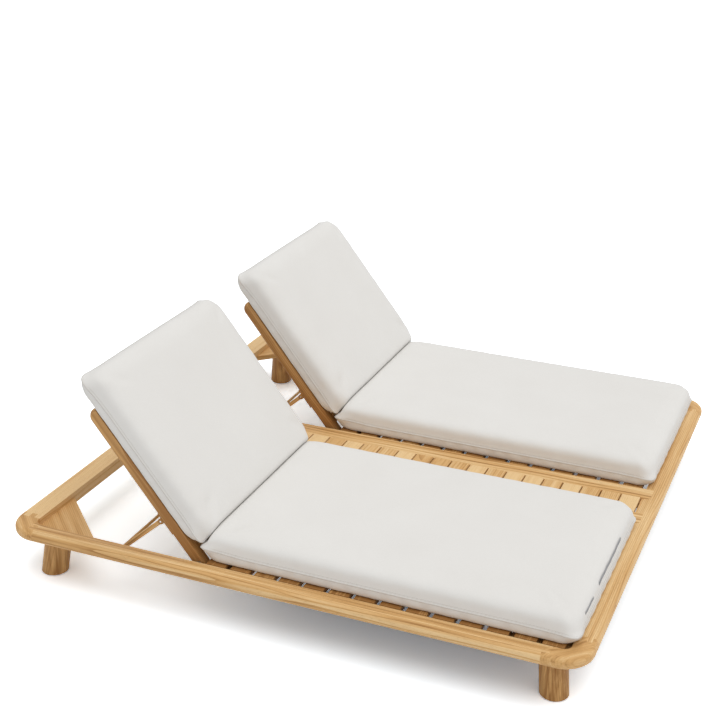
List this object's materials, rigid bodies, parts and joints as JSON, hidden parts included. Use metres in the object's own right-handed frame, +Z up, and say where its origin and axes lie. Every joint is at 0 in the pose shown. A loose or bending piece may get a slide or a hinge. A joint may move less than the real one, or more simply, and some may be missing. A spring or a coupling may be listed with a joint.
{
  "type": "double chaise lounger",
  "caption": "Timber double sun lounger with a slatted table strip between two tilting backrests and thick box cushions.",
  "frame": {"origin": "on the floor under the centre of the frame", "axes": "+X towards the foot end, +Y towards the left of a person lying in it, +Z up"},
  "size_m": [2, 2.05, 0.787],
  "materials": {
    "teak": "satin",
    "cushion_fabric": "matte",
    "steel": "satin"
  },
  "bodies": {
    "frame": {"corner_block_foot_left": "teak", "corner_block_foot_right": "teak", "corner_block_head_left": "teak", "corner_block_head_right": "teak", "corner_gusset_foot_left": "teak", "corner_gusset_foot_right": "teak", "corner_gusset_head_left": "teak", "corner_gusset_head_right": "teak", "foot_rail": "teak", "head_rail": "teak", "hinge_pins_left": "steel", "hinge_pins_right": "steel", "hinge_rail_left": "teak", "hinge_rail_right": "teak", "leg_foot_left": "teak", "leg_foot_right": "teak", "leg_head_left": "teak", "leg_head_right": "teak", "rack_inner_left": "teak", "rack_inner_right": "teak", "rack_outer_left": "teak", "rack_outer_right": "teak", "seat_cushion_left": "cushion_fabric", "seat_cushion_right": "cushion_fabric", "seat_ledger_inner_left": "teak", "seat_ledger_inner_right": "teak", "seat_ledger_outer_left": "teak", "seat_ledger_outer_right": "teak", "seat_slats_left": "teak", "seat_slats_right": "teak", "side_rail_left": "teak", "side_rail_right": "teak", "table_ledger_left": "teak", "table_ledger_right": "teak", "table_rail_left": "teak", "table_rail_right": "teak", "table_slats": "teak"},
    "backrest_left": {"back_cushion_left": "cushion_fabric", "backrest_bottom_rail_left": "teak", "backrest_rail_inner_left": "teak", "backrest_rail_outer_left": "teak", "backrest_slats_left": "teak", "backrest_top_rail_left": "teak", "prop_brackets_left": "teak", "prop_pins_left": "steel"},
    "prop_left": {"prop_foot_bar_left": "teak", "prop_leg_inner_left": "teak", "prop_leg_outer_left": "teak"},
    "backrest_right": {"back_cushion_right": "cushion_fabric", "backrest_bottom_rail_right": "teak", "backrest_rail_inner_right": "teak", "backrest_rail_outer_right": "teak", "backrest_slats_right": "teak", "backrest_top_rail_right": "teak", "prop_brackets_right": "teak", "prop_pins_right": "steel"},
    "prop_right": {"prop_foot_bar_right": "teak", "prop_leg_inner_right": "teak", "prop_leg_outer_right": "teak"}
  },
  "joints": [
    {"name": "backrest_tilt_left", "type": "hinge", "parent": "frame", "child": "backrest_left", "pos_m": [-0.29584, 0.5478, 0.178], "axis": [0, 1, 0], "range_deg": [-47, 1]},
    {"name": "prop_swing_left", "type": "hinge", "parent": "backrest_left", "child": "prop_left", "pos_m": [-0.44384, 0.5478, 0.298], "axis": [0, -1, 0], "range_deg": [-87.5, 2]},
    {"name": "backrest_tilt_right", "type": "hinge", "parent": "frame", "child": "backrest_right", "pos_m": [-0.29584, -0.5478, 0.178], "axis": [0, 1, 0], "range_deg": [-47, 1]},
    {"name": "prop_swing_right", "type": "hinge", "parent": "backrest_right", "child": "prop_right", "pos_m": [-0.44384, -0.5478, 0.298], "axis": [0, -1, 0], "range_deg": [-87.5, 2]}
  ],
  "couplings": [
    {"joint": "prop_swing_left", "follows": "backrest_tilt_left", "ratio": 1.86},
    {"joint": "prop_swing_right", "follows": "backrest_tilt_right", "ratio": 1.86}
  ]
}
